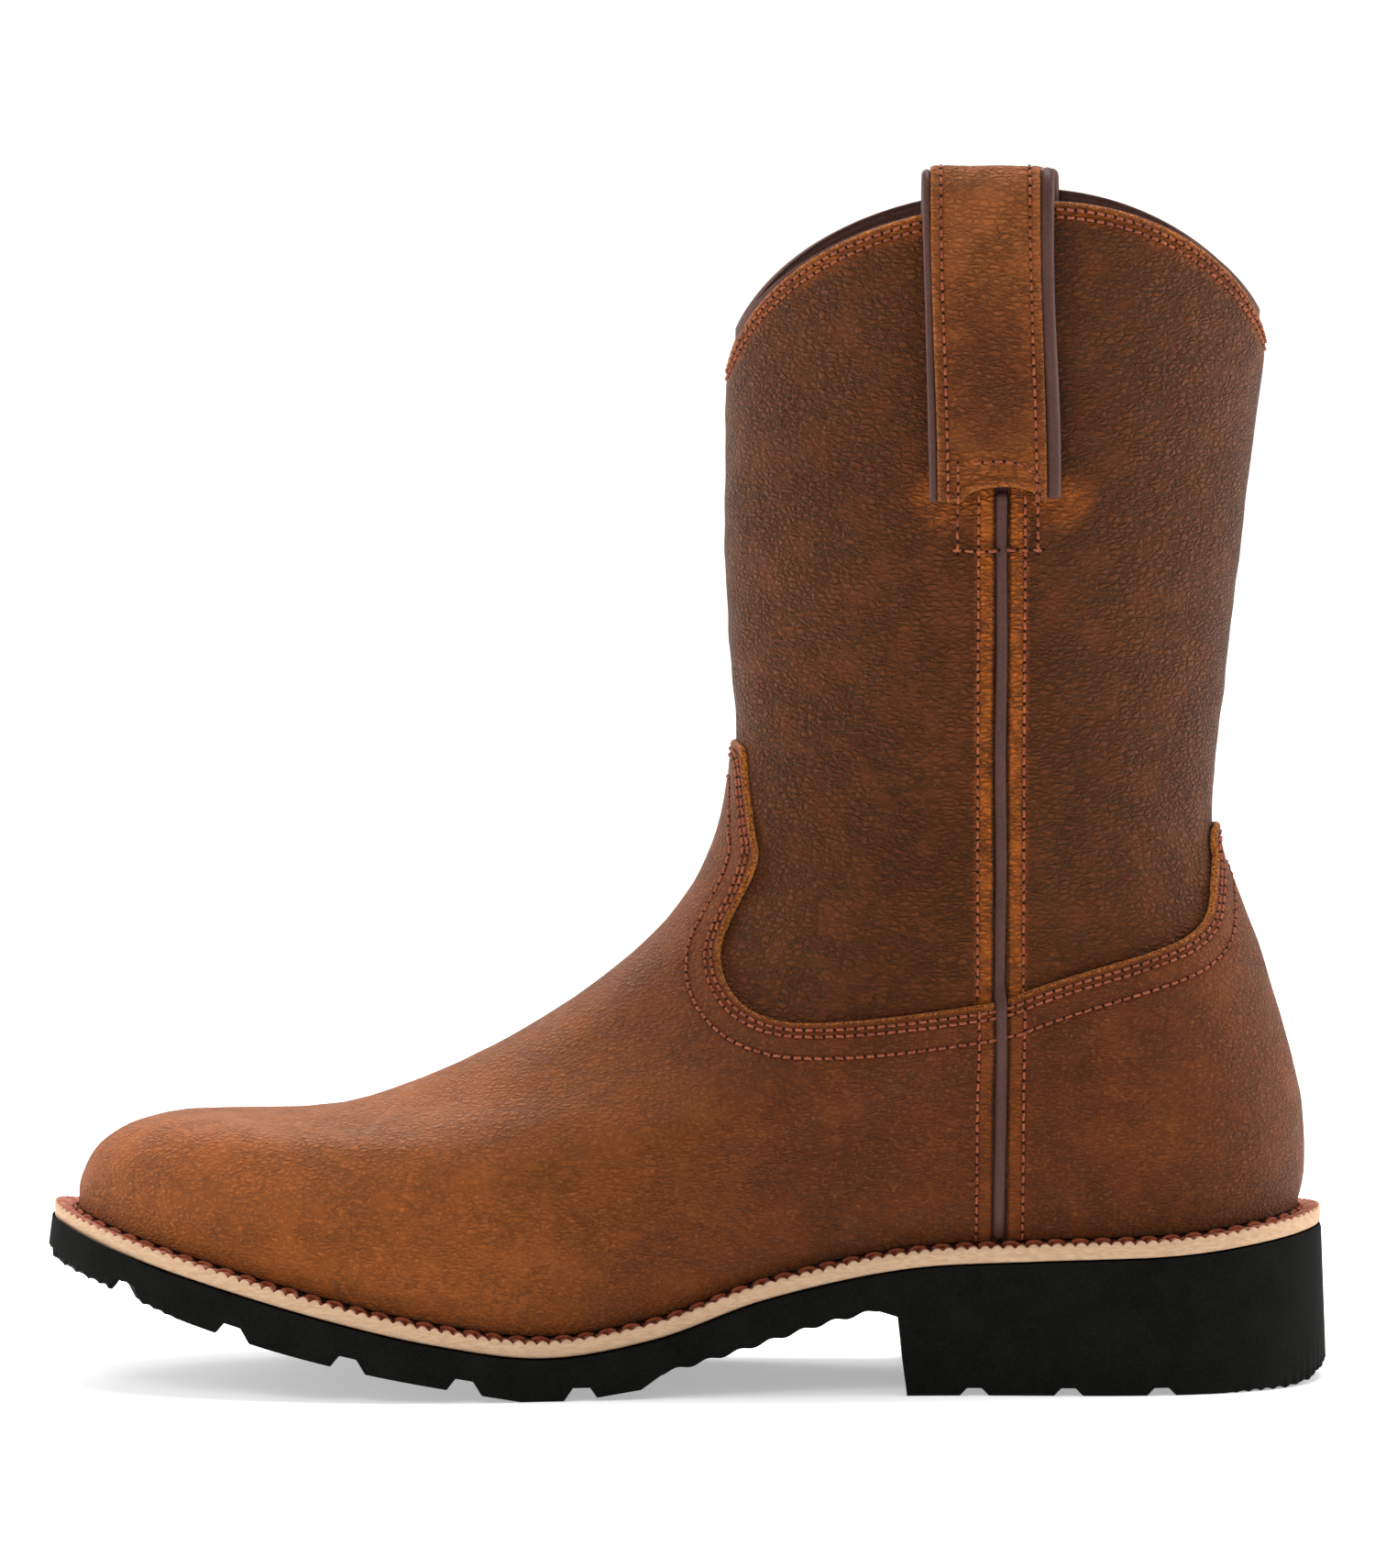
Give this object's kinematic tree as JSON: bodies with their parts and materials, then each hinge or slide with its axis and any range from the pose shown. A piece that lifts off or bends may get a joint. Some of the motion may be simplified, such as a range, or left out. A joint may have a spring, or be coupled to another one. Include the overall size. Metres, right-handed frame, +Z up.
{
  "type": "steel toe work boot",
  "caption": "Pull-on western work boot for the left foot with a steel toe, scalloped collar, pull straps, stitched welt and a lugged rubber sole with a low heel.",
  "frame": {"origin": "on the ground under the middle of the outsole", "axes": "+Z up, the toe points to -X and the heel to +X, and the outer side of the left foot faces -Y"},
  "size_m": [0.3124, 0.1071, 0.2971],
  "materials": {
    "foot_leather": "oiled full-grain leather, caramel",
    "shaft_leather": "oiled full-grain leather, brown",
    "trim_leather": "smooth dull leather, taupe brown",
    "shaft_lining": "smooth lining leather, brown",
    "foot_lining": "woven lining",
    "welt_leather": "natural undyed leather, cut edge",
    "fibre_board": "pressed fibre",
    "cork": "ground cork",
    "steel": "pressed steel",
    "outsole_rubber": "matte black rubber",
    "edging_rubber": "soft rubber strip",
    "foam": "moulded foam",
    "footbed_fabric": "brushed knit cover",
    "stiffener": "moulded thermoplastic"
  },
  "bodies": {
    "boot": {"outsole": "outsole_rubber", "welt": "welt_leather", "insole_board": "fibre_board", "insole_rib": "fibre_board", "cork_filler": "cork", "heel_filler": "cork", "steel_shank": "steel", "vamp": "foot_leather", "counter": "foot_leather", "steel_toe_cap": "steel", "toe_cap_edging": "edging_rubber", "vamp_doubler": "foot_lining", "heel_stiffener": "stiffener", "shaft_front": "shaft_leather", "shaft_back": "shaft_leather", "vamp_lining": "foot_lining", "heel_lining": "foot_lining", "shaft_lining_front": "shaft_lining", "shaft_lining_back": "shaft_lining", "side_piping_outer": "trim_leather", "side_piping_inner": "trim_leather", "pull_strap_outer": "foot_leather", "pull_strap_inner": "foot_leather", "pull_strap_backing_outer": "trim_leather", "pull_strap_backing_inner": "trim_leather", "strap_cord_front_outer": "trim_leather", "strap_cord_back_outer": "trim_leather", "strap_cord_front_inner": "trim_leather", "strap_cord_back_inner": "trim_leather"},
    "footbed": {"footbed": "foam", "footbed_cover": "footbed_fabric"}
  },
  "joints": [
    {"name": "footbed_lift", "type": "hinge", "parent": "boot", "child": "footbed", "pos_m": [-0.1413, 0, 0.0411], "axis": [0, -1, 0], "range_deg": [0, 9]}
  ]
}
